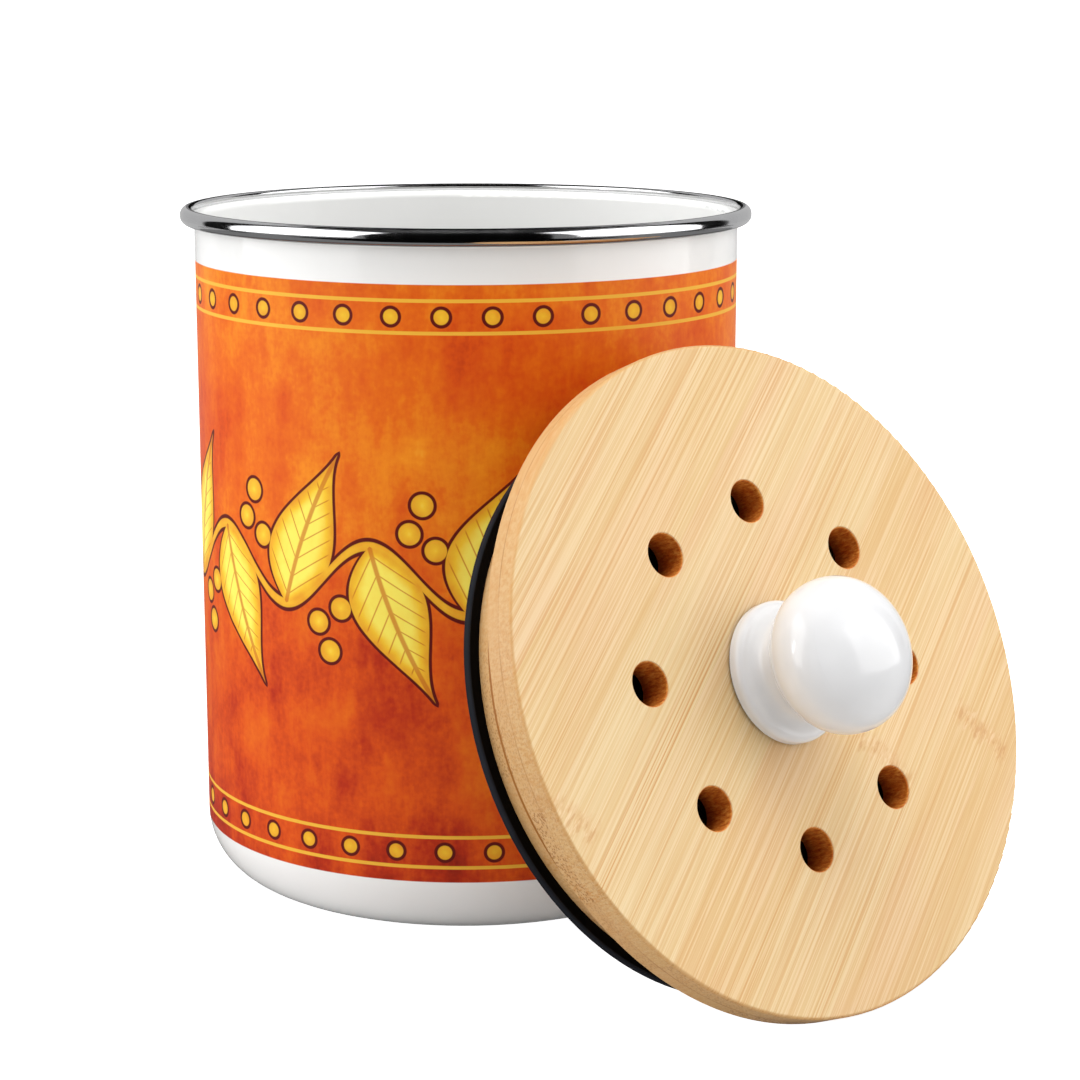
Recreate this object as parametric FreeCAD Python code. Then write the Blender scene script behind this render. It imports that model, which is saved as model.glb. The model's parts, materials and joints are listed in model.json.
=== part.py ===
"""Kitchen compost caddy: enamelled steel canister with a steel rim band, and a vented bamboo lid.

Millimetres, +Z up. The origin is the centre of the canister's base, on the surface it stands on.
The lid is off: it stands on its edge in front of the canister, to the right, and leans on the wall.
Lid pieces are drawn in the lid's own frame, where z = 0 is the underside of the board and +z points
out through the knob, and one placement then carries all of them to where the lid leans.
"""
import FreeCAD, Part
import math
import os

Vector = FreeCAD.Vector
ORIGIN = Vector(0, 0, 0)
UP = Vector(0, 0, 1)
FULL_TURN = 360
SAME_POINT = 1e-6             # distance below which two corners of an outline are one
SETTLED = 0.001               # error allowed in the gap that the lid is brought up to

# Canister shell: drawn steel with enamel on both sides.
CANISTER_HEIGHT = 193.0       # floor to the crest of the rim band
WALL_TOP_R = 76.5             # outside of the wall, under the rim
WALL_DRAFT = 0.4              # by which the wall is narrower at the base
WALL = 1.0                    # steel and both coats of enamel
BASE_CORNER_R = 19.0          # large drawn corner between wall and base
BASE_GROOVE_INSET = 7.1       # corner to the middle of the stiffening ring pressed into the base
BASE_GROOVE_WIDTH = 7.0
BASE_GROOVE_DEPTH = 1.4
BASE_GROOVE_EDGE_R = 1.2

# Rim band: thin stainless strip rolled over the canister's edge.
RIM_STEP = 1.2                # wall to the inner face of the enamelled bead under the band
NECK_SHARE = 0.85             # of that step, taken by the bend where the wall turns out
RIM_WIDTH = 3.2
BAND_HEIGHT = 4.7
BAND_SHEET = 0.5
BAND_ROLL_SHARE = 0.45        # of the band's height, taken by each of its two outer roundings
BAND_INNER_SHARE = 0.8        # of the width that is left, taken by the rounding over the mouth
BAND_LEG = 2.0                # how far the band reaches down inside the mouth

# Lid board: two bamboo plies, turned round.
BOARD_OVERHANG = 6.6          # past the rim
BOARD_THICKNESS = 9.2
BOARD_TOP_EDGE_R = 0.9
BOARD_BACK_EDGE_R = 0.7

# Vent holes, on a circle about the knob.
VENT_COUNT = 8
VENT_D = 11.0
VENT_CIRCLE_R = 45.1
VENT_START_ANGLE = 83.6       # from the lid's level diameter, so that one vent is nearly at the top
VENT_EASE = 0.4

# Plug ring: deep turned ring glued under the board, which carries the seal and the filter.
PLUG_CLEARANCE = 0.8          # between the plug and the inside of the canister
PLUG_SHOULDER = 19.1          # board to the seal
PLUG_WALL = 14.5
PLUG_FLANGE_REACH = 1.3       # past the seat of the seal, to keep the seal on
PLUG_FLANGE_HEIGHT = 1.6
PLUG_FLANGE_EDGE_R = 0.8
GRILLE_LEDGE = 4.6            # width of the step that the filter's cover lies on

# Seal: flat silicone ring in a groove of the plug, whose lip wipes the inside of the canister.
SEAL_THICKNESS = 2.3
SEAL_GROOVE_DEPTH = 2.5
SEAL_LIP_PRESS = 2.4          # by which the free lip is larger than the inside of the canister
SEAL_EDGE_R = 0.5

# Charcoal filter and the slotted cover that holds it up.
PAD_GAP = 0.5                 # between the pad and the bore it drops into
PAD_EDGE_R = 1.0
GRILLE_GAP = 0.3              # between the cover and its rebate, all round
GRILLE_THICKNESS = 2.2
GRILLE_RECESS = 0.2           # by which the cover lies below the plug's end
GRILLE_RIM_WIDTH = 6.0
GRILLE_HUB_R = 9.0
GRILLE_RINGS = 4              # rings of slots between hub and rim
GRILLE_BAR = 3.2              # width of the bars between the rings of slots
GRILLE_SPOKES = 6
GRILLE_SPOKE_WIDTH = 4.0

# Turn buttons: swivel catches screwed to the plug ring, which hold the cover in.
BUTTON_COUNT = 3
BUTTON_START_ANGLE = 30.0     # none of them at the top, where the lid leans on the wall
BUTTON_WIDTH = 8.0
BUTTON_OVERLAP = 3.6          # of the tip, over the edge of the cover
BUTTON_THICKNESS = 2.0
BUTTON_PLAY = 0.1             # between the button and the faces it turns on
BUTTON_EDGE_R = 0.5
BUTTON_SCREW_D = 2.9
BUTTON_SCREW_RUNNING_GAP = 0.05
BUTTON_SCREW_HEAD_D = 5.6
BUTTON_SCREW_HEAD_HEIGHT = 1.6
BUTTON_SCREW_BITE = 9.0       # depth of the screw in the plug ring

# Knob: glazed ceramic, an oblate ball on a flared foot, fixed by a screw from below.
KNOB_FOOT_R = 18.4
KNOB_FOOT_EDGE_R = 2.0
KNOB_FOOT_LAND = 1.6          # height of the foot's upright edge
KNOB_BALL_R = 19.9
KNOB_BALL_SIDE_R = 11.8       # arc round the ball's girth
KNOB_BALL_RISE = 15.3         # girth to crown
KNOB_GIRTH_HEIGHT = 20.8
KNOB_NECK_EASE = 1.19         # hollow of the neck, against the tightest arc from foot to ball
CUSHION_THICKNESS = 0.6       # thin dark washer under the foot
CUSHION_INSET = 0.5
INSERT_R = 4.2
INSERT_LENGTH = 16.0
KNOB_SCREW_D = 4.0
KNOB_SCREW_PASS_GAP = 0.3     # round the screw, through board and cushion
KNOB_SCREW_GRIP = 12.0        # thread held in the insert
KNOB_SCREW_HEAD_R = 4.0
KNOB_SCREW_HEAD_HEIGHT = 2.4
SCREW_HEAD_EDGE_R = 0.6
SCREW_SLOT_WIDTH = 0.9
SCREW_SLOT_DEPTH = 0.8
WASHER_R = 6.5
WASHER_THICKNESS = 1.0
PLENUM_GAP = 6.5              # air space between the screw's head and the filter pad

# How the lid stands: azimuths are turned from the front, -Y, towards +X.
LID_STAND_AZIMUTH = 35.4      # where the lid stands round the canister
LID_FACE_AZIMUTH = 41.0       # which way its knob points
LEAN_GAP = 0.3                # between the lid and the wall that it leans on
LEANING_PIECES = ["lid_board", "lid_plug_ring", "seal_ring", "turn_button_screws"]

# Derived sizes of the canister.
WALL_BOTTOM_R = WALL_TOP_R - WALL_DRAFT
MOUTH_R = WALL_TOP_R - WALL
BASE_GROOVE_R = WALL_BOTTOM_R - BASE_CORNER_R - BASE_GROOVE_INSET
BEAD_INNER_R = WALL_TOP_R + RIM_STEP
MOUTH_EDGE = CANISTER_HEIGHT - BAND_LEG
RIM_INNER_R = BEAD_INNER_R - BAND_SHEET
RIM_R = RIM_INNER_R + RIM_WIDTH
BEAD_OUTER_R = RIM_R - BAND_SHEET
BEAD_TOP = CANISTER_HEIGHT - BAND_SHEET
BEAD_BOTTOM = CANISTER_HEIGHT - BAND_HEIGHT + BAND_SHEET
BAND_ROLL_R = BAND_HEIGHT * BAND_ROLL_SHARE
BAND_INNER_R = (RIM_WIDTH - BAND_ROLL_R) * BAND_INNER_SHARE
BEAD_ROLL_R = BAND_ROLL_R - BAND_SHEET
BEAD_INNER_EDGE_R = BAND_INNER_R - BAND_SHEET
NECK_R = RIM_STEP * NECK_SHARE

# Derived sizes of the lid, which follow the mouth of the canister.
BOARD_R = RIM_R + BOARD_OVERHANG
PLUG_R = MOUTH_R - PLUG_CLEARANCE
SEAL_SEAT_R = PLUG_R - SEAL_GROOVE_DEPTH
SEAL_LIP_R = MOUTH_R + SEAL_LIP_PRESS
SEAL_END = PLUG_SHOULDER + SEAL_THICKNESS
PLUG_DEPTH = SEAL_END + PLUG_FLANGE_HEIGHT
PLUG_FLANGE_R = SEAL_SEAT_R + PLUG_FLANGE_REACH
FILTER_BORE_R = PLUG_R - PLUG_WALL
GRILLE_REBATE_R = FILTER_BORE_R + GRILLE_LEDGE
GRILLE_R = GRILLE_REBATE_R - GRILLE_GAP
GRILLE_SEAT = GRILLE_THICKNESS + GRILLE_RECESS - PLUG_DEPTH
PAD_TOP = -(WASHER_THICKNESS + KNOB_SCREW_HEAD_HEIGHT + PLENUM_GAP)
KNOB_BASE = BOARD_THICKNESS + CUSHION_THICKNESS
BUTTON_CIRCLE_R = (GRILLE_REBATE_R + PLUG_FLANGE_R) / 2
BUTTON_REACH = BUTTON_CIRCLE_R - GRILLE_R + BUTTON_OVERLAP
BUTTON_TOP = -(PLUG_DEPTH + BUTTON_PLAY)
BUTTON_ANGLES = [BUTTON_START_ANGLE + i * FULL_TURN / BUTTON_COUNT for i in range(BUTTON_COUNT)]


def revolved(points):
    """Solid of revolution about Z. Each point is (radius, height, rounding of that corner)."""
    corners = []
    for i, (radius, height, rounding) in enumerate(points):
        here = Vector(radius, 0, height)
        if not rounding:
            corners.append((here, None, here))
            continue
        before_radius, before_height, _ = points[i - 1]
        after_radius, after_height, _ = points[(i + 1) % len(points)]
        back = (Vector(before_radius, 0, before_height) - here).normalize()
        on = (Vector(after_radius, 0, after_height) - here).normalize()
        half_angle = back.getAngle(on) / 2
        setback = rounding / math.tan(half_angle)
        inward = (back + on).normalize()
        middle = here + inward * (rounding / math.sin(half_angle) - rounding)
        corners.append((here + back * setback, middle, here + on * setback))
    edges = []
    for i, (start, middle, end) in enumerate(corners):
        if middle:
            edges.append(Part.Arc(start, middle, end).toShape())
        following = corners[(i + 1) % len(corners)][0]
        if not following.isEqual(end, SAME_POINT):
            edges.append(Part.LineSegment(end, following).toShape())
    return spun(edges)


def spun(edges):
    """Solid made by turning a closed outline in the XZ plane once about Z."""
    solid = Part.Face(Part.Wire(edges)).revolve(ORIGIN, UP, FULL_TURN)
    if solid.Volume < 0:
        solid.reverse()
    return solid


def rod(radius, low, high, x=0, y=0):
    """Upright cylinder between two heights."""
    return Part.makeCylinder(radius, high - low, Vector(x, y, low), UP)


def ring(inner, outer, low, high):
    """Flat washer shape between two heights."""
    return rod(outer, low, high).cut(rod(inner, low, high))


def on_circle(radius, angle):
    """Point of a circle about the lid's axis, as x and y."""
    turn = math.radians(angle)
    return radius * math.cos(turn), radius * math.sin(turn)


def canister_shell():
    """Drawn cup: flat base with a pressed ring, rounded corner, drafted wall, and a bead at the edge."""
    groove_in = BASE_GROOVE_R - BASE_GROOVE_WIDTH / 2
    groove_out = BASE_GROOVE_R + BASE_GROOVE_WIDTH / 2
    slope = BASE_GROOVE_DEPTH
    underside = [
        (0, 0, 0),
        (groove_in, 0, BASE_GROOVE_EDGE_R),
        (groove_in + slope, BASE_GROOVE_DEPTH, BASE_GROOVE_EDGE_R),
        (groove_out - slope, BASE_GROOVE_DEPTH, BASE_GROOVE_EDGE_R),
        (groove_out, 0, BASE_GROOVE_EDGE_R),
    ]
    outside = [
        (WALL_BOTTOM_R, 0, BASE_CORNER_R),
        (WALL_TOP_R, BEAD_BOTTOM, NECK_R),
        (BEAD_OUTER_R, BEAD_BOTTOM, BEAD_ROLL_R),
        (BEAD_OUTER_R, BEAD_TOP, BEAD_ROLL_R),
        (BEAD_INNER_R, BEAD_TOP, BEAD_INNER_EDGE_R),
        (BEAD_INNER_R, MOUTH_EDGE, 0),
    ]
    inside = [
        (MOUTH_R, MOUTH_EDGE, NECK_R + WALL),
        (WALL_BOTTOM_R - WALL, WALL, BASE_CORNER_R - WALL),
    ]
    floor = [(radius, height + WALL, rounding) for radius, height, rounding in reversed(underside)]
    return revolved(underside + outside + inside + floor)


def rim_band(shell):
    """Strip rolled over the bead, crimped under it and closed against the shell on both sides."""
    low = CANISTER_HEIGHT - BAND_HEIGHT
    roll = revolved([
        (RIM_INNER_R, low, 0),
        (RIM_R, low, BAND_ROLL_R),
        (RIM_R, CANISTER_HEIGHT, BAND_ROLL_R),
        (RIM_INNER_R, CANISTER_HEIGHT, BAND_INNER_R),
    ])
    # Under the shell's neck the roll is open, so only the piece round the bead is kept.
    pieces = roll.cut(shell).Solids
    return max(pieces, key=lambda piece: piece.Volume)


def lid_board():
    """Round board with eased edges, a circle of vents and the hole for the knob's screw."""
    board = revolved([
        (0, 0, 0),
        (BOARD_R, 0, BOARD_BACK_EDGE_R),
        (BOARD_R, BOARD_THICKNESS, BOARD_TOP_EDGE_R),
        (0, BOARD_THICKNESS, 0),
    ])
    vent_r = VENT_D / 2
    for i in range(VENT_COUNT):
        x, y = on_circle(VENT_CIRCLE_R, VENT_START_ANGLE + i * FULL_TURN / VENT_COUNT)
        board = board.cut(rod(vent_r, 0, BOARD_THICKNESS, x, y))
        ease_start = Vector(x, y, BOARD_THICKNESS - VENT_EASE)
        board = board.cut(Part.makeCone(vent_r, vent_r + VENT_EASE, VENT_EASE, ease_start))
    return board.cut(rod(KNOB_SCREW_D / 2 + KNOB_SCREW_PASS_GAP, 0, BOARD_THICKNESS))


def plug_ring():
    """Ring under the board: groove and flange for the seal outside, bore and rebate for the filter inside."""
    plug = revolved([
        (FILTER_BORE_R, 0, 0),
        (PLUG_R, 0, 0),
        (PLUG_R, -PLUG_SHOULDER, 0),
        (SEAL_SEAT_R, -PLUG_SHOULDER, 0),
        (SEAL_SEAT_R, -SEAL_END, 0),
        (PLUG_FLANGE_R, -SEAL_END, 0),
        (PLUG_FLANGE_R, -PLUG_DEPTH, PLUG_FLANGE_EDGE_R),
        (GRILLE_REBATE_R, -PLUG_DEPTH, 0),
        (GRILLE_REBATE_R, GRILLE_SEAT, 0),
        (FILTER_BORE_R, GRILLE_SEAT, 0),
    ])
    for angle in BUTTON_ANGLES:
        x, y = on_circle(BUTTON_CIRCLE_R, angle)
        plug = plug.cut(rod(BUTTON_SCREW_D / 2, -PLUG_DEPTH, BUTTON_SCREW_BITE - PLUG_DEPTH, x, y))
    return plug


def seal_ring():
    """Flat ring stretched into the plug's groove, with its lip standing out past the plug."""
    return revolved([
        (SEAL_SEAT_R, -PLUG_SHOULDER, 0),
        (SEAL_LIP_R, -PLUG_SHOULDER, SEAL_EDGE_R),
        (SEAL_LIP_R, -SEAL_END, SEAL_EDGE_R),
        (SEAL_SEAT_R, -SEAL_END, 0),
    ])


def filter_pad():
    """Charcoal felt disc that lies on the slotted cover."""
    pad_r = FILTER_BORE_R - PAD_GAP
    return revolved([
        (0, GRILLE_SEAT, 0),
        (pad_r, GRILLE_SEAT, PAD_EDGE_R),
        (pad_r, PAD_TOP, PAD_EDGE_R),
        (0, PAD_TOP, 0),
    ])


def filter_grille():
    """Flat moulded cover: hub, rim and spokes, with rings of curved slots between them."""
    low = GRILLE_SEAT - GRILLE_THICKNESS
    cover = rod(GRILLE_R, low, GRILLE_SEAT)
    pitch = (GRILLE_R - GRILLE_RIM_WIDTH - GRILLE_HUB_R + GRILLE_BAR) / GRILLE_RINGS
    spoke_corner = Vector(0, -GRILLE_SPOKE_WIDTH / 2, low)
    spokes = []
    for i in range(GRILLE_SPOKES):
        spoke = Part.makeBox(GRILLE_R, GRILLE_SPOKE_WIDTH, GRILLE_THICKNESS, spoke_corner)
        spoke.rotate(ORIGIN, UP, i * FULL_TURN / GRILLE_SPOKES)
        spokes.append(spoke)
    for i in range(GRILLE_RINGS):
        inner = GRILLE_HUB_R + i * pitch
        slots = ring(inner, inner + pitch - GRILLE_BAR, low, GRILLE_SEAT)
        cover = cover.cut(slots.cut(spokes))
    return cover


def turn_button(angle):
    """Oblong catch with round ends, on its screw, pointing in over the edge of the cover."""
    half = BUTTON_WIDTH / 2
    low = BUTTON_TOP - BUTTON_THICKNESS
    length = BUTTON_REACH - half
    tail = rod(half, low, BUTTON_TOP)
    tip = rod(half, low, BUTTON_TOP, -length)
    bar = Part.makeBox(length, BUTTON_WIDTH, BUTTON_THICKNESS, Vector(-length, -half, low))
    button = bar.fuse([tail, tip]).removeSplitter()
    lower_edges = [edge for edge in button.Edges if edge.BoundBox.ZMax < low + BUTTON_EDGE_R]
    button = button.makeFillet(BUTTON_EDGE_R, lower_edges)
    button = button.cut(rod(BUTTON_SCREW_D / 2 + BUTTON_SCREW_RUNNING_GAP, low, BUTTON_TOP))
    button.rotate(ORIGIN, UP, angle)
    button.translate(Vector(*on_circle(BUTTON_CIRCLE_R, angle), 0))
    return button


def slotted_screw(shank_r, head_r, head_height, seat, top):
    """Screw that points up from its head's seat to its top, with a rounded, slotted head below."""
    low = seat - head_height
    screw = revolved([
        (0, low, 0),
        (head_r, low, SCREW_HEAD_EDGE_R),
        (head_r, seat, 0),
        (shank_r, seat, 0),
        (shank_r, top, 0),
        (0, top, 0),
    ])
    slot_corner = Vector(-head_r, -SCREW_SLOT_WIDTH / 2, low)
    return screw.cut(Part.makeBox(2 * head_r, SCREW_SLOT_WIDTH, SCREW_SLOT_DEPTH, slot_corner))


def turn_button_screws():
    """One screw for each turn button, all alike."""
    seat = BUTTON_TOP - BUTTON_THICKNESS - BUTTON_PLAY
    screws = []
    for angle in BUTTON_ANGLES:
        screw = slotted_screw(BUTTON_SCREW_D / 2, BUTTON_SCREW_HEAD_D / 2, BUTTON_SCREW_HEAD_HEIGHT,
                              seat, BUTTON_SCREW_BITE - PLUG_DEPTH)
        screw.translate(Vector(*on_circle(BUTTON_CIRCLE_R, angle), 0))
        screws.append(screw)
    return Part.makeCompound(screws)


def tangent_centre(first, first_r, second, second_r, radius):
    """Centre of the arc that lies outside two circles, touching both, on their outer side."""
    first_reach = first_r + radius
    second_reach = second_r + radius
    apart = second - first
    along = (first_reach ** 2 - second_reach ** 2 + apart.Length ** 2) / (2 * apart.Length)
    aside = math.sqrt(first_reach ** 2 - along ** 2)
    direction = apart.normalize()
    outward = Vector(-direction.z, 0, direction.x)
    return first + direction * along + outward * aside


def towards(centre, target, radius):
    """Point of a circle on the line from its centre to a target."""
    return centre + (target - centre).normalize() * radius


def knob():
    """Ball of a crown arc and a girth arc, hollow neck, rounded foot, and the insert's blind hole."""
    foot = Vector(KNOB_FOOT_R - KNOB_FOOT_EDGE_R, 0, KNOB_BASE + KNOB_FOOT_LAND)
    girth = Vector(KNOB_BALL_R - KNOB_BALL_SIDE_R, 0, KNOB_BASE + KNOB_GIRTH_HEIGHT)
    # The crown arc is centred on the axis and runs into the girth arc without a crease.
    over_girth = KNOB_BALL_RISE - KNOB_BALL_SIDE_R
    crown_r = (girth.x ** 2 + KNOB_BALL_RISE ** 2 - KNOB_BALL_SIDE_R ** 2) / (2 * over_girth)
    crown = Vector(0, 0, girth.z + KNOB_BALL_RISE - crown_r)
    tightest = ((girth - foot).Length - KNOB_BALL_SIDE_R - KNOB_FOOT_EDGE_R) / 2
    neck_r = tightest * KNOB_NECK_EASE
    neck = tangent_centre(girth, KNOB_BALL_SIDE_R, foot, KNOB_FOOT_EDGE_R, neck_r)
    base_centre = Vector(0, 0, KNOB_BASE)
    base_edge = Vector(KNOB_FOOT_R, 0, KNOB_BASE)
    foot_start = foot + Vector(KNOB_FOOT_EDGE_R, 0, 0)
    foot_end = towards(foot, neck, KNOB_FOOT_EDGE_R)
    neck_end = towards(girth, neck, KNOB_BALL_SIDE_R)
    girth_end = towards(crown, girth, crown_r)
    top = crown + UP * crown_r
    foot_middle = foot + ((foot_start - foot) + (foot_end - foot)).normalize() * KNOB_FOOT_EDGE_R
    neck_middle = neck + ((foot_end - neck) + (neck_end - neck)).normalize() * neck_r
    girth_middle = girth + Vector(KNOB_BALL_SIDE_R, 0, 0)
    crown_middle = crown + ((girth_end - crown) + (top - crown)).normalize() * crown_r
    body = spun([
        Part.LineSegment(base_centre, base_edge).toShape(),
        Part.LineSegment(base_edge, foot_start).toShape(),
        Part.Arc(foot_start, foot_middle, foot_end).toShape(),
        Part.Arc(foot_end, neck_middle, neck_end).toShape(),
        Part.Arc(neck_end, girth_middle, girth_end).toShape(),
        Part.Arc(girth_end, crown_middle, top).toShape(),
        Part.LineSegment(top, base_centre).toShape(),
    ])
    return body.cut(rod(INSERT_R, KNOB_BASE, KNOB_BASE + INSERT_LENGTH))


def knob_cushion():
    """Thin washer that keeps the ceramic off the wood."""
    hole_r = KNOB_SCREW_D / 2 + KNOB_SCREW_PASS_GAP
    return ring(hole_r, KNOB_FOOT_R - CUSHION_INSET, BOARD_THICKNESS, KNOB_BASE)


def knob_insert():
    """Threaded bush cemented into the knob."""
    return ring(KNOB_SCREW_D / 2, INSERT_R, KNOB_BASE, KNOB_BASE + INSERT_LENGTH)


def knob_screw():
    """Machine screw from the board's underside into the insert."""
    return slotted_screw(KNOB_SCREW_D / 2, KNOB_SCREW_HEAD_R, KNOB_SCREW_HEAD_HEIGHT,
                         -WASHER_THICKNESS, KNOB_BASE + KNOB_SCREW_GRIP)


def knob_washer():
    """Flat washer under the screw's head."""
    return ring(KNOB_SCREW_D / 2, WASHER_R, -WASHER_THICKNESS, 0)


def heading(azimuth):
    """Level direction turned from the front towards +X."""
    turn = math.radians(azimuth)
    return Vector(math.sin(turn), -math.cos(turn), 0)


def leaning_placement(pieces):
    """Placement of the lid's frame: lowest point on the floor, back of the lid against the canister."""
    # Off the canister, the lid stands on the edges of its board and its seal, which sets its lean.
    lean = math.atan2(BOARD_R - SEAL_LIP_R, SEAL_END)
    out = heading(LID_FACE_AZIMUTH) * math.cos(lean) + UP * math.sin(lean)
    level = UP.cross(out).normalize()
    turn = FreeCAD.Rotation(level, out.cross(level), out, "ZXY")
    lid = Part.makeCompound([pieces[name] for name in LEANING_PIECES])
    lid.Placement = FreeCAD.Placement(ORIGIN, turn)
    lift = -lid.optimalBoundingBox(False, False).ZMin
    way = heading(LID_STAND_AZIMUTH)
    wall = Part.makeCone(WALL_BOTTOM_R, WALL_TOP_R, CANISTER_HEIGHT)
    rim = rod(RIM_R, CANISTER_HEIGHT - BAND_HEIGHT, CANISTER_HEIGHT)
    canister = Part.makeCompound([wall, rim])
    distance = RIM_R + BOARD_R + PLUG_DEPTH
    # Each step closes the gap that is measured, so the lid comes up to the wall and never into it.
    gap = distance
    while gap - LEAN_GAP > SETTLED:
        lid.Placement = FreeCAD.Placement(way * distance + UP * lift, turn)
        gap = lid.distToShape(canister)[0]
        distance -= gap - LEAN_GAP
    return FreeCAD.Placement(way * distance + UP * lift, turn)


def build():
    """Every node of the part, by name, where it stands."""
    shell = canister_shell()
    lid = {
        "lid_board": lid_board(),
        "lid_plug_ring": plug_ring(),
        "seal_ring": seal_ring(),
        "filter_pad": filter_pad(),
        "filter_grille": filter_grille(),
        "turn_button_screws": turn_button_screws(),
        "knob": knob(),
        "knob_cushion": knob_cushion(),
        "knob_insert": knob_insert(),
        "knob_screw": knob_screw(),
        "knob_washer": knob_washer(),
    }
    for i, angle in enumerate(BUTTON_ANGLES):
        lid[f"turn_button_{i + 1}"] = turn_button(angle)
    placement = leaning_placement(lid)
    nodes = {"canister_shell": shell, "rim_band": rim_band(shell)}
    for name, piece in lid.items():
        piece.Placement = placement.multiply(piece.Placement)
        nodes[name] = piece
    return nodes, placement


nodes, lid_placement = build()
os.makedirs("parts", exist_ok=True)
for name, shape in nodes.items():
    shape.exportStep(f"parts/{name}.step")

lid_axis = lid_placement.Rotation.multVec(UP)
print("lid axis", [round(value, 6) for value in lid_axis])
print("lid origin", [round(value, 3) for value in lid_placement.Base])
for i, angle in enumerate(BUTTON_ANGLES):
    pivot = lid_placement.multVec(Vector(*on_circle(BUTTON_CIRCLE_R, angle), BUTTON_TOP))
    print("turn button", i + 1, "pivot", [round(value, 3) for value in pivot])
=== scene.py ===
"""Kitchen compost caddy, dressed: an enamelled canister with a steel rim, and its vented bamboo lid, which
stands on its edge in front and leans on the wall. Metres, +Z up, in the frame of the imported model."""
import bpy
import json
import math
from mathutils import Matrix, Vector, noise


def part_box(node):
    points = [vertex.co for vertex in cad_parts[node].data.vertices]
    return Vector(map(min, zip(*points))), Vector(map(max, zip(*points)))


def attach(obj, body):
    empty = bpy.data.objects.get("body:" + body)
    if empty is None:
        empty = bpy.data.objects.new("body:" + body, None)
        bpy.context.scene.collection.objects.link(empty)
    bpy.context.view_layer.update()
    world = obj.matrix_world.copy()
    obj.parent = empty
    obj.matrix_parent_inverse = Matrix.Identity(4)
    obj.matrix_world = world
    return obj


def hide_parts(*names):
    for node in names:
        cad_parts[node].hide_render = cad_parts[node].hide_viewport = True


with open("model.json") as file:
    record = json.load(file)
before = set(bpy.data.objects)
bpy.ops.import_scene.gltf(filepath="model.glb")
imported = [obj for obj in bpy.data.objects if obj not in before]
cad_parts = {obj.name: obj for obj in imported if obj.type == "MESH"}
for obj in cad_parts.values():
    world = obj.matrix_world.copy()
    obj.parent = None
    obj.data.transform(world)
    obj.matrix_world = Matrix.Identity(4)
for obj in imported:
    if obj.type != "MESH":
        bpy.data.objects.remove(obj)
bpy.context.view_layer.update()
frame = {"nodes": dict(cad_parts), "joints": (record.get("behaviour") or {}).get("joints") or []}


# Canister shell: a deep-drawn steel cup, enamelled white inside and out. A fired print goes round the
# outside of the wall: a mottled orange ground with a frieze of leaves and berries between beaded borders.
# The cup stands freely on its base and carries the rim.
PRINT_LOW = 0.0175
PRINT_HIGH = 0.1785
PRINT_R = 0.0763
WALL_MIDDLE_R = 0.0758
FRIEZE_HEIGHT = 0.1
REPEATS = 9
REPEAT = 2 * math.pi * PRINT_R / REPEATS
VINE_SWING = 0.009
VINE_HALF_WIDTH = 0.0011
LEAF_LENGTH = 0.047
LEAF_HALF_WIDTH = 0.0105
LEAF_ANGLE = math.radians(75)
LEAF_CURL = 0.007
VEIN_SPACING = 0.0052
BERRY_R = 0.0031
BERRY_PLACES = [(-0.0155, 0.0128), (-0.0085, 0.0085), (-0.0120, 0.0205)]
BORDER_INSET = 0.0085
BORDER_LINE_HALF = 0.0006
BEAD_R = 0.0021
BEADS_PER_REPEAT = 4
INK_OUTLINE = 0.0009
EDGE_SOFTNESS = 0.00025


def colour(code):
    """Linear RGBA of an sRGB hex code."""
    channels = [int(code[i:i + 2], 16) / 255 for i in (0, 2, 4)]
    return [c / 12.92 if c <= 0.04045 else ((c + 0.055) / 1.055) ** 2.4 for c in channels] + [1]


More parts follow.
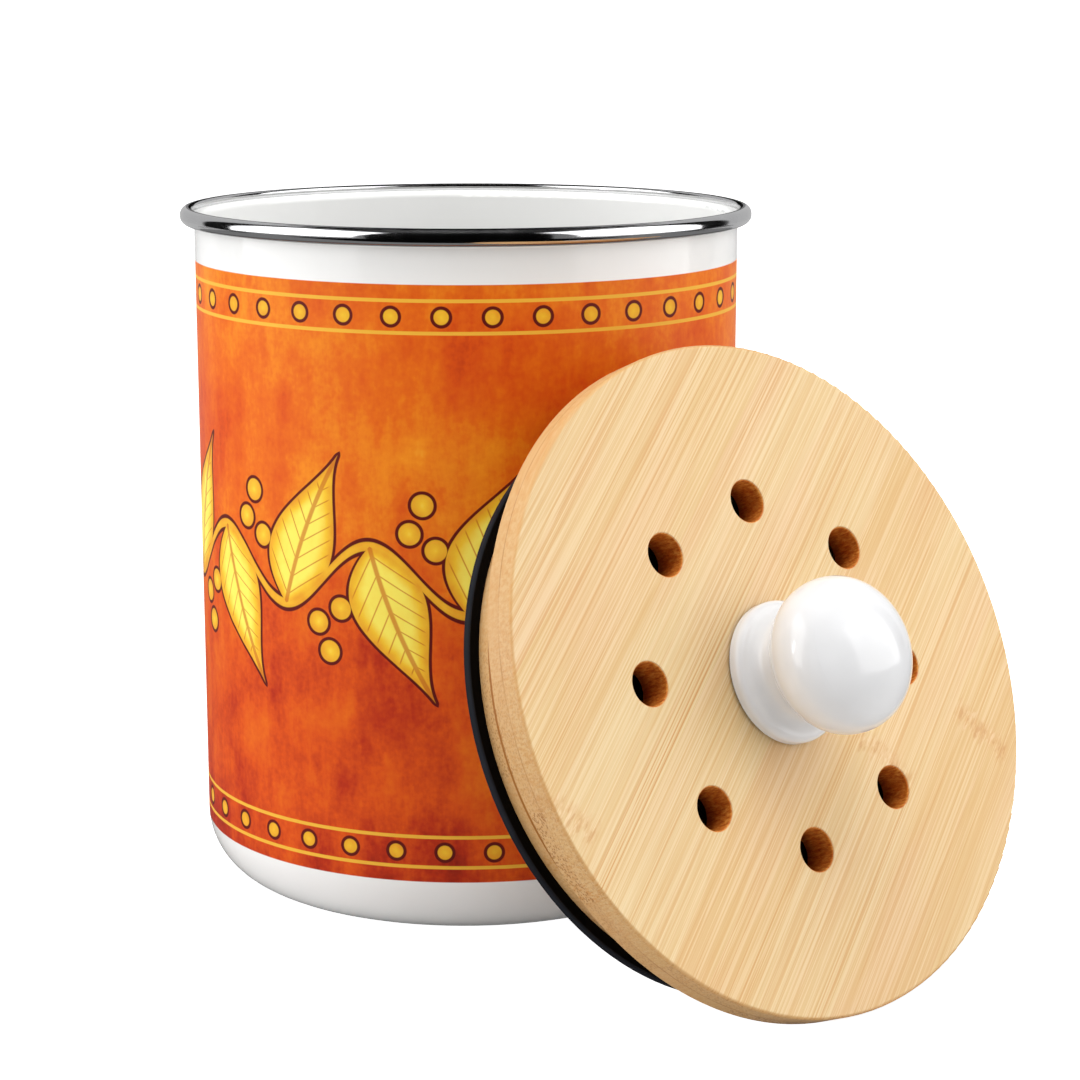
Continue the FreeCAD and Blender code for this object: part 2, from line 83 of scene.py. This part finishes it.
class Shade:
    """One output of a shader node. Arithmetic on it adds Math nodes, and node() adds any other kind."""

    def __init__(self, tree, socket):
        self.tree = tree
        self.socket = socket

    def node(self, kind, settings, sockets, out=0):
        """Adds a node: its settings are made first, then each socket gets its value or its link."""
        made = self.tree.nodes.new("ShaderNode" + kind)
        for name, value in settings.items():
            if name == "stops":
                steps = made.color_ramp.elements
                while len(steps) < len(value):
                    steps.new(1)
                for step, (position, paint) in zip(steps, value):
                    step.position = position
                    step.color = paint
            else:
                setattr(made, name, value)
        for name, value in sockets.items():
            if isinstance(value, Shade):
                self.tree.links.new(value.socket, made.inputs[name])
            else:
                made.inputs[name].default_value = value
        return Shade(self.tree, made.outputs[out])

    def math(self, operation, *values):
        return self.node("Math", {"operation": operation}, dict(enumerate(values)))

    def __add__(self, other):
        return self.math("ADD", self, other)

    def __radd__(self, other):
        return self.math("ADD", other, self)

    def __sub__(self, other):
        return self.math("SUBTRACT", self, other)

    def __rsub__(self, other):
        return self.math("SUBTRACT", other, self)

    def __mul__(self, other):
        return self.math("MULTIPLY", self, other)

    def __rmul__(self, other):
        return self.math("MULTIPLY", other, self)

    def __truediv__(self, other):
        return self.math("DIVIDE", self, other)

    def __rtruediv__(self, other):
        return self.math("DIVIDE", other, self)

    def __pow__(self, other):
        return self.math("POWER", self, other)

    def __abs__(self):
        return self.math("ABSOLUTE", self)

    def __or__(self, other):
        """The larger of two masks."""
        return self.math("MAXIMUM", self, other)

    def root(self):
        return self.math("SQRT", self)

    def fraction(self):
        """What is left after whole turns or repeats, from 0 to 1."""
        return self.math("FRACT", self)

    def rise(self, low, high):
        """0 at low and 1 at high, with a soft step between."""
        return self.node("MapRange", {"interpolation_type": "SMOOTHSTEP"},
                         {"Value": self, "From Min": low, "From Max": high})

    def mix(self, low, high):
        """Colour between two colours, with this value as the share of the second."""
        return self.node("Mix", {"data_type": "RGBA"}, {0: self, 6: low, 7: high}, out=2)

    def ramp(self, *stops):
        """Colour from stops of position and hex code."""
        return self.node("ValToRGB", {"stops": [(at, colour(code)) for at, code in stops]}, {0: self})

    def parts(self):
        """X, Y and Z of a vector."""
        first = self.node("SeparateXYZ", {}, {0: self})
        return [Shade(self.tree, socket) for socket in first.socket.node.outputs]

    def vector(self, x, y, z):
        return self.node("CombineXYZ", {}, {0: x, 1: y, 2: z})

    def dot(self, direction):
        return self.node("VectorMath", {"operation": "DOT_PRODUCT"}, {0: self, 1: direction}, out=1)

    def stretched(self, factors):
        return self.node("VectorMath", {"operation": "MULTIPLY"}, {0: self, 1: factors})

    def noise(self, scale, detail=2.0, roughness=0.5):
        """Cloudy noise at this point, about 0.5."""
        return self.node("TexNoise", {}, {"Vector": self, "Scale": scale, "Detail": detail,
                                          "Roughness": roughness})

    def bump(self, height, distance, strength=1.0):
        """Normal of a surface with this relief, in metres."""
        return self.node("Bump", {}, {"Strength": strength, "Distance": distance, "Height": height})


def new_finish(name):
    """A material, and the point being shaded in its object's own frame, which is the frame of the model."""
    finish = bpy.data.materials.new(name)
    finish.use_nodes = True
    tree = finish.node_tree
    point = tree.nodes.new("ShaderNodeTexCoord").outputs["Object"]
    return finish, Shade(tree, point)


def set_surface(place, sockets):
    """Values and links of the material's surface."""
    surface = place.tree.nodes["Principled BSDF"]
    for name, value in sockets.items():
        if isinstance(value, Shade):
            place.tree.links.new(value.socket, surface.inputs[name])
        else:
            surface.inputs[name].default_value = value


def dress(finish, *names):
    """Gives CAD nodes a finish."""
    for name in names:
        for slot in frame["nodes"][name].material_slots:
            slot.material = finish


def across_repeat(along):
    """Distance from the middle of the repeat that a point lies in."""
    return ((along / REPEAT + 0.5).fraction() - 0.5) * REPEAT


def leaf(along, up):
    """The leaf of each repeat: depth inside its edge, and the lines of its midrib and veins."""
    x = across_repeat(along)
    y = up + VINE_SWING
    share = (x * math.cos(LEAF_ANGLE) + y * math.sin(LEAF_ANGLE)) / LEAF_LENGTH
    aside = abs(y * math.cos(LEAF_ANGLE) - x * math.sin(LEAF_ANGLE) + LEAF_CURL * share * share)
    taper = share.node("Clamp", {}, {0: 1 - share, 1: 0.0, 2: 2.0})
    half_width = LEAF_HALF_WIDTH * 27 / 4 * share * taper * taper
    depth = half_width - aside - share.rise(0.95, 1.15) * LEAF_HALF_WIDTH
    midrib = aside.rise(0.0009, 0.0004)
    slant = (share * LEAF_LENGTH - aside * 1.1) / VEIN_SPACING
    vein = abs(slant.fraction() - 0.5).rise(0.08, 0.02) * depth.rise(0.0006, 0.002)
    return depth, midrib | vein


def berries(along, up):
    """Depth inside the nearest berry of each repeat."""
    x = across_repeat(along)
    depths = []
    for berry_x, berry_y in BERRY_PLACES:
        aside = (x - berry_x) * (x - berry_x) + (up - berry_y) * (up - berry_y)
        depths.append(BERRY_R - aside.root())
    return depths[0] | depths[1] | depths[2]


enamel, place = new_finish("printed_enamel")
x, y, z = place.parts()
radius = (x * x + y * y).root()
along = place.math("ARCTAN2", x, y * -1) * PRINT_R
up = z - FRIEZE_HEIGHT
ground = (0.5 + (place.noise(16, 3) - 0.5) * 0.75 + (place.noise(70, 4, 0.6) - 0.5) * 0.5
          + (place.stretched((1, 1, 0.25)).noise(150, 4, 0.65) - 0.5) * 0.45
          + (place.noise(650, 2) - 0.5) * 0.2 + (z - 0.105) * 1.7)
ground = ground.ramp((0.05, "7A1208"), (0.26, "B42E0B"), (0.43, "D44E0A"), (0.6, "E0680C"),
                     (0.78, "EC8A16"), (1.0, "F4B437"))
upper, upper_lines = leaf(along, up)
lower, lower_lines = leaf(along + REPEAT / 2, up * -1)
wave = along * (2 * math.pi / REPEAT)
vine = VINE_HALF_WIDTH - abs(up + wave.math("COSINE", wave) * VINE_SWING) * 0.8
fruit = berries(along, up) | berries(along + REPEAT / 2, up * -1)
border = abs(abs(z - (PRINT_LOW + PRINT_HIGH) / 2) - ((PRINT_HIGH - PRINT_LOW) / 2 - BORDER_INSET))
bead_turn = along / REPEAT * BEADS_PER_REPEAT
bead_x = (bead_turn.fraction() - 0.5) * (REPEAT / BEADS_PER_REPEAT)
bead = BEAD_R - (bead_x * bead_x + border * border).root()
lines = BORDER_LINE_HALF - abs(border - 0.0042)
leaves = upper | lower
motif = leaves | vine | fruit | bead
drawn = motif.rise(-INK_OUTLINE, EDGE_SOFTNESS - INK_OUTLINE)
filled = motif.rise(0, EDGE_SOFTNESS)
glow = motif.rise(0, 0.006) * 0.7 + (place.noise(240, 3) - 0.5) * 0.5 + 0.2
gold = glow.ramp((0.0, "DE8A1C"), (0.45, "EFC02F"), (0.9, "F6E45F"))
gold = ((upper_lines | lower_lines) * leaves.rise(0, EDGE_SOFTNESS) * 0.7).mix(gold, colour("C05A16"))
picture = drawn.mix(ground, colour("5E120C"))
picture = filled.mix(picture, gold)
picture = lines.rise(0, EDGE_SOFTNESS).mix(picture, colour("E9B23A"))
printed = (z.rise(PRINT_LOW, PRINT_LOW + EDGE_SOFTNESS) * z.rise(PRINT_HIGH, PRINT_HIGH - EDGE_SOFTNESS)
           * radius.rise(WALL_MIDDLE_R - 0.0001, WALL_MIDDLE_R))
scuffs = z.rise(0.0007, 0.0001) * place.stretched((3, 1, 1)).noise(300, 5, 0.7).rise(0.5, 0.62)
white = place.noise(9, 2).ramp((0.3, "ECECEA"), (0.7, "F2F2F1"))
white = (scuffs * 0.5).mix(white, colour("8D8B88"))
peel = place.noise(330, 1) + place.noise(90, 1) * 2
set_surface(place, {
    "Base Color": printed.mix(white, picture),
    "Roughness": 0.1 + place.noise(40, 3) * 0.06 + printed * 0.3 + scuffs * 0.3,
    "IOR": 1.25,
    "Coat Weight": (1 - printed) * 0.4,
    "Coat Roughness": 0.06,
    "Normal": place.bump(peel, 0.00002, 0.5),
})
dress(enamel, "canister_shell")


# Rim band: a strip of polished stainless steel, rolled over the enamelled edge and crimped under it. Rolling
# leaves hair-fine lines along it, handling leaves faint smears, and painted shade darkens the crimped hem.
RIM_WIDTH = 0.0032
BAND_SHEET = 0.0005
BAND_ROLL_SHARE = 0.45
BAND_INNER_SHARE = 0.8
BAND_LEG = 0.002
RIM_SPOKES = 288
ROLL_STEPS = 12
HEM_SHADE_HEIGHT = 0.0009
rim_low, rim_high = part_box("rim_band")
RIM_R = rim_high.x
RIM_INNER_R = RIM_R - RIM_WIDTH
BAND_ROLL_R = (rim_high.z - rim_low.z) * BAND_ROLL_SHARE
BAND_INNER_R = (RIM_WIDTH - BAND_ROLL_R) * BAND_INNER_SHARE
MOUTH_EDGE = rim_high.z - BAND_LEG


def quarter(radius, height, rounding, start):
    """Quarter of a circle in a section, clockwise from an angle in quarter turns."""
    angles = [math.pi / 2 * (start - i / ROLL_STEPS) for i in range(ROLL_STEPS + 1)]
    return [(radius + rounding * math.cos(angle), height + rounding * math.sin(angle)) for angle in angles]


def band_outline(inset):
    """From the mouth over the crest and round the outside to the hem, at a depth in the sheet."""
    roll = RIM_R - BAND_ROLL_R
    return ([(RIM_INNER_R + inset, MOUTH_EDGE)]
            + quarter(RIM_INNER_R + BAND_INNER_R, rim_high.z - BAND_INNER_R, BAND_INNER_R - inset, 2)
            + quarter(roll, rim_high.z - BAND_ROLL_R, BAND_ROLL_R - inset, 1)
            + quarter(roll, rim_low.z + BAND_ROLL_R, BAND_ROLL_R - inset, 0)
            + [(RIM_INNER_R, rim_low.z + inset)])


def turned(name, section, spokes):
    """New object turned about Z. A section that starts off the axis closes to a ring; others stay open."""
    points = []
    rows = []
    for radius, height in section:
        count = spokes if radius > 0 else 1
        rows.append([len(points) + i % count for i in range(spokes)])
        for i in range(count):
            angle = 2 * math.pi * i / spokes
            points.append((radius * math.cos(angle), radius * math.sin(angle), height))
    if section[0][0] > 0:
        rows.append(rows[0])
    faces = []
    for row, following in zip(rows, rows[1:]):
        for i in range(spokes):
            j = (i + 1) % spokes
            faces.append(list(dict.fromkeys([row[i], following[i], following[j], row[j]])))
    mesh = bpy.data.meshes.new(name)
    mesh.from_pydata(points, [], faces)
    mesh.shade_smooth()
    piece = bpy.data.objects.new(name, mesh)
    bpy.context.scene.collection.objects.link(piece)
    return piece


steel, place = new_finish("rolled_steel")
x, y, z = place.parts()
turn = place.math("ARCTAN2", x, y)
hair = place.vector(turn * 0.04, (x * x + y * y).root(), z).noise(5200, 2)
smear = place.noise(60, 4, 0.6)
bright = (hair * 0.5 + smear * 0.5).ramp((0.3, "D0D0D2"), (0.7, "E4E4E5"))
# Painted shade: the steel's colour is darkened along the crimped hem, for the shade under the roll.
hem = z.rise(rim_low.z + HEM_SHADE_HEIGHT, rim_low.z + HEM_SHADE_HEIGHT * 0.5) * 0.85
set_surface(place, {
    "Base Color": hem.mix(bright, colour("3A3A3C")),
    "Metallic": 1.0,
    "Roughness": 0.06 + smear.rise(0.45, 0.75) * 0.08 + hair * 0.05,
    "Normal": place.bump(hair, 0.000004, 0.4),
})
rolled_rim = turned("rolled_rim", band_outline(0) + band_outline(BAND_SHEET)[::-1], RIM_SPOKES)
rolled_rim.data.materials.append(steel)
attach(rolled_rim, "canister")
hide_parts("rim_band")


# Lid board and plug ring: bamboo plies glued up and turned round, the board drilled with eight vents, all
# oiled. Each ply is laid up from flat strips with the fibres along them. The joints of the cane show as scars
# across a strip, and the fibres' ends as dots where the turning cuts across them.
lift = next(joint for joint in frame["joints"] if joint["name"] == "lid_lift")
LID_OUT = Vector(lift["axis"]).normalized()
LID_LEVEL = Vector((0, 0, 1)).cross(LID_OUT).normalized()
LID_RISE = LID_OUT.cross(LID_LEVEL)
BOARD_THICKNESS = 0.0092
BOARD_R = 0.087
BOARD_PLY = BOARD_THICKNESS / 2
PLUG_SHOULDER = 0.0191
PLUG_SIDE_R = 0.0737
PLUG_PLY = 0.004
board_low, board_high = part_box("lid_board")
LID_CENTRE = (board_low + board_high) / 2 - LID_OUT * BOARD_THICKNESS / 2
GRAIN_ANGLE = math.radians(41)
STRIP_WIDTH = 0.024
STRIP_SHIFT = 0.21
SCAR_PLACES = [(-0.0745, 0.0395), (0.0327, -0.065), (0.003, -0.039)]
SCAR_HALF_LENGTH = 0.0042
HEART_ACROSS = 0.0215
VENTS = 8
VENT_CIRCLE_R = 0.0451
VENT_R = 0.0055
VENT_START = math.radians(83.6)
GLUE_HALF_WIDTH = 0.00014


def lid_parts(place):
    """X, Y and Z in the lid's own frame: level, up along the board, and out through the knob."""
    return [place.dot(axis) - LID_CENTRE.dot(axis) for axis in (LID_LEVEL, LID_RISE, LID_OUT)]


bamboo, place = new_finish("oiled_bamboo")
x, y, z = lid_parts(place)
radius = (x * x + y * y).root()
length = x * math.cos(GRAIN_ANGLE) + y * math.sin(GRAIN_ANGLE)
across = y * math.cos(GRAIN_ANGLE) - x * math.sin(GRAIN_ANGLE)
lane = across / STRIP_WIDTH + STRIP_SHIFT
strip = lane.math("FLOOR", lane)
ply = z.math("FLOOR", z / BOARD_PLY)
block = place.vector(strip, ply, 0.5)
tone = block.node("TexWhiteNoise", {"noise_dimensions": "3D"}, {"Vector": block})
fibres = place.vector(length, across, z + strip * 0.37)
broad = fibres.stretched((4, 110, 110)).noise(1, 2, 0.6)
streak = fibres.stretched((7, 520, 360)).noise(1, 2, 0.6)
hair = fibres.stretched((14, 2700, 1800)).noise(1, 2, 0.6)
value = 0.5 + (tone - 0.5) * 0.22 + (broad - 0.5) * 0.07 + (streak - 0.5) * 0.07 + (hair - 0.5) * 0.65
wood = value.ramp((0.1, "CA9B60"), (0.3, "D0A971"), (0.5, "D5B480"), (0.7, "D8BD8E"), (0.9, "DBC79C"))
blush = fibres.stretched((12, 45, 40)).noise(1, 2).rise(0.45, 0.7)
wood = (blush * 0.35).mix(wood, colour("D8AC84"))
bundle = fibres.stretched((5, 1900, 700)).noise(1, 1)
dash = fibres.stretched((26, 2600, 900)).noise(1, 1)
crowd = fibres.stretched((5, 130, 90)).noise(1, 2).rise(0.36, 0.64)
crowd = crowd | abs(across - HEART_ACROSS).rise(0.0055, 0.001) * 1.8
wood = (bundle.rise(0.55, 0.61) * crowd * 0.38 | dash.rise(0.6, 0.67) * 0.26).mix(wood, colour("C27C2E"))
wood = (bundle.rise(0.45, 0.39) * 0.25 | dash.rise(0.4, 0.33) * 0.3).mix(wood, colour("EEDDB8"))
ragged = (fibres.stretched((90, 500, 300)).noise(1, 3, 0.7) - 0.5) * 0.014
scars = []
for scar_length, scar_across in SCAR_PLACES:
    here = abs(length - scar_length + ragged).rise(SCAR_HALF_LENGTH, 0.0006)
    scars.append(here * abs(across - scar_across).rise(STRIP_WIDTH / 2, STRIP_WIDTH / 2 - 0.003))
scar = scars[0] | scars[1] | scars[2]
flecks = fibres.stretched((240, 1100, 600)).noise(1, 2, 0.6)
wood = (scar * 0.25).mix(wood, colour("CC9560"))
wood = (scar * flecks.rise(0.53, 0.62) * 0.45).mix(wood, colour("BC8244"))
wood = (scar * flecks.rise(0.46, 0.38) * 0.3).mix(wood, colour("EEDDB8"))
joint = abs(lane.fraction() - 0.5).rise(0.493, 0.4985) * 0.25
wood = joint.mix(wood, colour("C88F58"))
# The turned sides: darker, with dots where the strips are cut across, and a glue line between the plies.
board_side = radius.rise(BOARD_R - 0.0007, BOARD_R - 0.0002)
side = board_side | (z.rise(0.0, -0.0001) * radius.rise(PLUG_SIDE_R - 0.0002, PLUG_SIDE_R))
cut_across = abs(length / radius).rise(0.3, 0.75)
spots = place.vector(x, y, z * 1.7).node("TexVoronoi", {"feature": "F1"}, {
    "Vector": place.vector(x, y, z * 1.7), "Scale": 1250.0})
dotted = block.node("TexWhiteNoise", {"noise_dimensions": "3D"}, {"Vector": block.stretched((3.1, 1.7, 2.3))})
dots = spots.rise(0.52, 0.22) * cut_across * (0.15 + dotted * dotted * 0.75)
wood = (side * (0.6 + (tone - 0.5) * 0.3)).mix(wood, colour("BC8C54"))
wood = (side * dots).mix(wood, colour("8F5A28"))
board_glue = abs(z - BOARD_PLY).rise(GLUE_HALF_WIDTH * 2, GLUE_HALF_WIDTH * 0.5)
plug_glue = abs(z + PLUG_SHOULDER - PLUG_PLY).rise(GLUE_HALF_WIDTH * 3.2, GLUE_HALF_WIDTH * 2)
glue = side * (board_glue * place.noise(38, 2).rise(0.3, 0.62) * 0.6 | (plug_glue * 0.9))
wood = glue.mix(wood, colour("955A1C"))
eased = (radius.rise(BOARD_R - 0.0009, BOARD_R - 0.0005)
         * z.rise(BOARD_THICKNESS - 0.0009, BOARD_THICKNESS - 0.0004))
wood = (eased * 0.3).mix(wood, colour("D09A58"))
# Inside the vents the wood is browner: partly the drilled end grain, partly painted shade of the deep holes.
bearing = (place.math("ARCTAN2", y, x) - VENT_START) / (2 * math.pi / VENTS) + 0.5
bearing = (bearing.fraction() - 0.5) * (2 * math.pi / VENTS)
vent_x = bearing.math("COSINE", bearing) * radius - VENT_CIRCLE_R
vent_y = bearing.math("SINE", bearing) * radius
from_vent = (vent_x * vent_x + vent_y * vent_y).root()
drilled = from_vent.rise(VENT_R + 0.00035, VENT_R + 0.0001)
fuzz = place.vector(x, y, z * 0.35).noise(1400, 3, 0.7)
wood = drilled.mix(wood, fuzz.ramp((0.3, "A64A0C"), (0.5, "C87222"), (0.72, "E4A24A")))
# Painted shade: the vent walls darken further towards the underside of the board, deeper in each hole.
wood = (drilled * z.rise(0.005, 0.0) * 0.6).mix(wood, colour("5C2206"))
set_surface(place, {
    "Base Color": wood,
    "Roughness": 0.42 + place.noise(80, 3) * 0.14 + drilled * 0.2,
    "IOR": 1.32,
    "Coat Weight": 0.1,
    "Coat Roughness": 0.3,
    "Normal": place.bump(hair + streak * 0.5 + scar * flecks * 0.4 - side * dots, 0.00006, 0.5),
})
dress(bamboo, "lid_board", "lid_plug_ring")


# Seal ring: a flat ring of black silicone, stretched into the plug's groove, whose lip wipes the inside of
# the canister. Moulding leaves it matt. The lip's outer edge is painted a lit grey, and the rest, like the
# knob's cushion that shares the finish, a painted-shade near black.
SEAL_LIP_R = 0.0779
silicone, place = new_finish("black_silicone")
x, y, z = lid_parts(place)
bloom = place.noise(70, 4, 0.6)
grit = place.noise(2600, 2)
# Painted light and shade: a lit grey on the lip's outer edge, a shaded near black everywhere nearer the
# middle.
lit_lip_edge = (x * x + y * y).root().rise(SEAL_LIP_R - 0.0007, SEAL_LIP_R - 0.0003)
painted_shade_black = bloom.ramp((0.3, "030304"), (0.7, "070708"))
set_surface(place, {
    "Base Color": lit_lip_edge.mix(painted_shade_black, bloom.ramp((0.3, "191B20"), (0.7, "23252B"))),
    "Roughness": 0.5 + bloom * 0.16,
    "IOR": 1.12,
    "Normal": place.bump(grit, 0.00003, 0.35),
})
dress(silicone, "seal_ring", "knob_cushion")


# Filter pad: a thick disc of needled charcoal felt, cut with a die and dropped into the plug's bore. It lies
# on the slotted cover, uneven on its faces and fluffy at its cut edge.
PAD_R = 0.0597
PAD_LOW = -0.0206
PAD_HIGH = -0.0099
PAD_EDGE = 0.0016
PAD_RINGS = 48
PAD_SPOKES = 160
EDGE_STEPS = 6
FLUFF = 0.00035
LID_PLACEMENT = Matrix.Translation(LID_CENTRE) @ Matrix((LID_LEVEL, LID_RISE, LID_OUT)).transposed().to_4x4()

flat = PAD_R - PAD_EDGE
upper_half = [(flat * i / PAD_RINGS, PAD_HIGH) for i in range(PAD_RINGS)]
for i in range(EDGE_STEPS + 1):
    angle = math.pi / 2 * i / EDGE_STEPS
    upper_half.append((flat + PAD_EDGE * math.sin(angle), PAD_HIGH - PAD_EDGE + PAD_EDGE * math.cos(angle)))
lower_half = [(radius, PAD_LOW + PAD_HIGH - height) for radius, height in reversed(upper_half)]
felt_pad = turned("charcoal_felt_pad", upper_half + lower_half, PAD_SPOKES)
normals = [spot.normal.copy() for spot in felt_pad.data.vertices]
for spot, outward in zip(felt_pad.data.vertices, normals):
    sunk = abs(noise.noise(spot.co * 700)) + abs(noise.noise(spot.co * 110))
    spot.co -= outward * FLUFF * sunk
felt_pad.matrix_world = LID_PLACEMENT
felt, place = new_finish("charcoal_felt")
tuft = place.noise(1500, 4, 0.7)
strand = place.stretched((1, 4, 1)).noise(900, 3, 0.7)
set_surface(place, {
    "Base Color": (tuft * 0.6 + strand * 0.4).ramp((0.35, "0F0F10"), (0.55, "222223"), (0.7, "3A3A3B")),
    "Roughness": 0.92,
    "Sheen Weight": 0.25,
    "Normal": place.bump(tuft + strand, 0.0004, 0.8),
})
felt_pad.data.materials.append(felt)
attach(felt_pad, "lid")
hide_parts("filter_pad")


# Filter grille and turn buttons: moulded in cream plastic with a fine spark texture. The grille drops into
# the plug's rebate and holds the pad; three buttons, each on its screw, swing over its edge.
plastic, place = new_finish("cream_plastic")
spark = place.noise(3800, 2)
flow = place.noise(55, 3)
set_surface(place, {
    "Base Color": flow.ramp((0.3, "DDD7C8"), (0.7, "E9E4D8")),
    "Roughness": 0.45 + spark * 0.12,
    "IOR": 1.49,
    "Normal": place.bump(spark, 0.00003, 0.4),
})
dress(plastic, "filter_grille", "turn_button_1", "turn_button_2", "turn_button_3")


# Screws and washer: plain zinc-plated steel. The three small screws hold the turn buttons; the large one goes
# up through its washer and the board into the knob.
zinc, place = new_finish("zinc_plate")
cloud = place.noise(420, 4, 0.65)
scratch = place.stretched((1, 9, 1)).noise(1300, 3, 0.6)
set_surface(place, {
    "Base Color": cloud.ramp((0.3, "9FA1A4"), (0.7, "C6C8CA")),
    "Metallic": 1.0,
    "Roughness": 0.25 + cloud * 0.2,
    "Normal": place.bump(scratch, 0.00002, 0.3),
})
dress(zinc, "turn_button_screws", "knob_screw", "knob_washer")


# Knob: a ball on a flared foot, cast in white ceramic and glazed. A dark cushion keeps it off the wood, and a
# brass bush cemented into it takes the screw.
glaze, place = new_finish("white_glaze")
pool = place.noise(70, 2)
set_surface(place, {
    "Base Color": pool.ramp((0.3, "DADADB"), (0.7, "E2E2E3")),
    "Roughness": 0.14 + place.noise(240, 3) * 0.06,
    "IOR": 1.45,
    "Coat Weight": 0.5,
    "Coat Roughness": 0.06,
    "Normal": place.bump(pool, 0.0003, 0.25),
})
dress(glaze, "knob")

brass, place = new_finish("turned_brass")
x, y, z = lid_parts(place)
tool_marks = place.vector(x * 0.2, y * 0.2, z).noise(4200, 2)
set_surface(place, {
    "Base Color": place.noise(300, 3).ramp((0.3, "A98038"), (0.7, "CBA45A")),
    "Metallic": 1.0,
    "Roughness": 0.25 + tool_marks * 0.15,
    "Normal": place.bump(tool_marks, 0.00002, 0.4),
})
dress(brass, "knob_insert")


# Studio: a round, pale sweep of floor and wall, a soft box at each side and above, a narrow one for a glint,
# and a white card that fills from below. Black cards draw the lines in the steel, and pale ones at the back
# lighten the ends of the rim. The camera stands where the photograph was taken.
SWEEP_R = 3.4
SWEEP_BEND = 1.0
SWEEP_TOP = 5.0
BEND_STEPS = 24
SWEEP_SPOKES = 96
CAMERA_PLACE = (0.0, -0.8, 0.2578)
CAMERA_PITCH = 0.1995
CAMERA_YAW = 0.026
PHOTO_SIDE = 1080
FOCAL_PIXELS = 2820

profile = [(0, 0)]
for i in range(BEND_STEPS + 1):
    angle = math.pi / 2 * i / BEND_STEPS
    profile.append((SWEEP_R - SWEEP_BEND * (1 - math.sin(angle)), SWEEP_BEND * (1 - math.cos(angle))))
profile.append((SWEEP_R, SWEEP_TOP))
sweep = turned("studio_sweep", profile, SWEEP_SPOKES)
paper, place = new_finish("sweep_paper")
set_surface(place, {
    "Base Color": place.noise(3, 2).ramp((0.3, "F2F2F1"), (0.7, "F6F6F6")),
    "Roughness": 0.9,
    "Emission Color": (1, 1, 1, 1),
    "Emission Strength": 0.9,
})
sweep.visible_diffuse = False
sweep.visible_glossy = False
sweep.visible_shadow = False
sweep.data.materials.append(paper)


def round_the_caddy(bearing, distance, height):
    """Point at a bearing from the front, -Y, towards +X, in degrees."""
    turn = math.radians(bearing)
    return Vector((distance * math.sin(turn), -distance * math.cos(turn), height))


def soft_box(name, position, aim, width, height, power):
    """Rectangular area light that faces a point."""
    lamp = bpy.data.lights.new(name, "AREA")
    lamp.shape = "RECTANGLE"
    lamp.size = width
    lamp.size_y = height
    lamp.energy = power
    box = bpy.data.objects.new(name, lamp)
    box.location = position
    box.rotation_euler = (aim - position).to_track_quat("-Z", "Y").to_euler()
    bpy.context.scene.collection.objects.link(box)


def card(name, finish, bearing, width, profile):
    """Card out of the camera's sight, bent along a profile of distance and height, which throws no shadow."""
    points = [(side * width / 2, -distance, height) for distance, height in profile for side in (-1, 1)]
    faces = [(2 * i, 2 * i + 1, 2 * i + 3, 2 * i + 2) for i in range(len(profile) - 1)]
    mesh = bpy.data.meshes.new(name)
    mesh.from_pydata(points, [], faces)
    mesh.materials.append(finish)
    piece = bpy.data.objects.new(name, mesh)
    piece.rotation_euler = (0, 0, math.radians(bearing))
    piece.visible_camera = False
    piece.visible_shadow = False
    piece.visible_glossy = finish != white_card
    piece.visible_diffuse = finish == white_card
    bpy.context.scene.collection.objects.link(piece)


black_card, place = new_finish("black_card")
set_surface(place, {
    "Base Color": place.noise(20, 2).ramp((0.3, "020202"), (0.7, "050505")),
    "Roughness": 0.9,
    "Specular IOR Level": 0.0,
})
pale_card, place = new_finish("pale_card")
set_surface(place, {
    "Base Color": place.noise(20, 2).ramp((0.3, "020202"), (0.7, "050505")),
    "Roughness": 0.9,
    "Emission Color": (1, 1, 1, 1),
    "Emission Strength": 0.5,
})
white_card, place = new_finish("white_card")
set_surface(place, {
    "Base Color": place.noise(20, 2).ramp((0.3, "D2D2D2"), (0.7, "D8D8D8")),
    "Roughness": 0.9,
})
soft_box("left_box", round_the_caddy(-80, 1.6, 1.0), Vector((0, 0, 0.6)), 2.7, 2.2, 39)
soft_box("right_box", round_the_caddy(80, 1.6, 1.0), Vector((0, 0, 0.6)), 2.7, 2.2, 36)
soft_box("glint_box", Vector((-1.03, -0.5, 0.45)), Vector((0.06, -0.13, 0.1)), 0.08, 0.3, 0.8)
soft_box("top_box", Vector((0.0, -0.1, 1.9)), Vector((0, 0, 0.1)), 1.6, 1.6, 31)
card("front_card", black_card, -3, 1.06, [(0.2, 0.002), (0.75, 0.002), (0.75, 1.2), (-1.0, 1.2)])
card("left_card", black_card, -114, 0.5, [(0.6, 0.002), (1.4, 0.002), (1.4, 2.5)])
card("right_card", black_card, 114, 0.5, [(0.6, 0.002), (1.4, 0.002), (1.4, 2.5)])
card("back_card", black_card, 180, 0.36, [(1.2, 0), (1.2, 1.6)])
card("left_return", pale_card, -148, 1.2, [(0.5, 0.002), (1.5, 0.002), (1.5, 2.5)])
card("right_return", pale_card, 148, 1.2, [(0.5, 0.002), (1.5, 0.002), (1.5, 2.5)])
card("floor_card", white_card, 0, 3.0, [(1.5, 0.001), (-1.5, 0.001)])
world = bpy.data.worlds.new("studio_air")
world.use_nodes = True
world.node_tree.nodes["Background"].inputs["Color"].default_value = (1, 1, 1, 1)
world.node_tree.nodes["Background"].inputs["Strength"].default_value = 0.21
bpy.context.scene.world = world
bpy.context.scene.view_settings.view_transform = "Standard"

camera = bpy.data.cameras.new("photo_camera")
camera.sensor_width = 36
camera.lens = camera.sensor_width * FOCAL_PIXELS / PHOTO_SIDE
photo_camera = bpy.data.objects.new("photo_camera", camera)
photo_camera.location = CAMERA_PLACE
photo_camera.rotation_euler = (math.pi / 2 - CAMERA_PITCH, 0, -CAMERA_YAW)
bpy.context.scene.collection.objects.link(photo_camera)
bpy.context.scene.camera = photo_camera
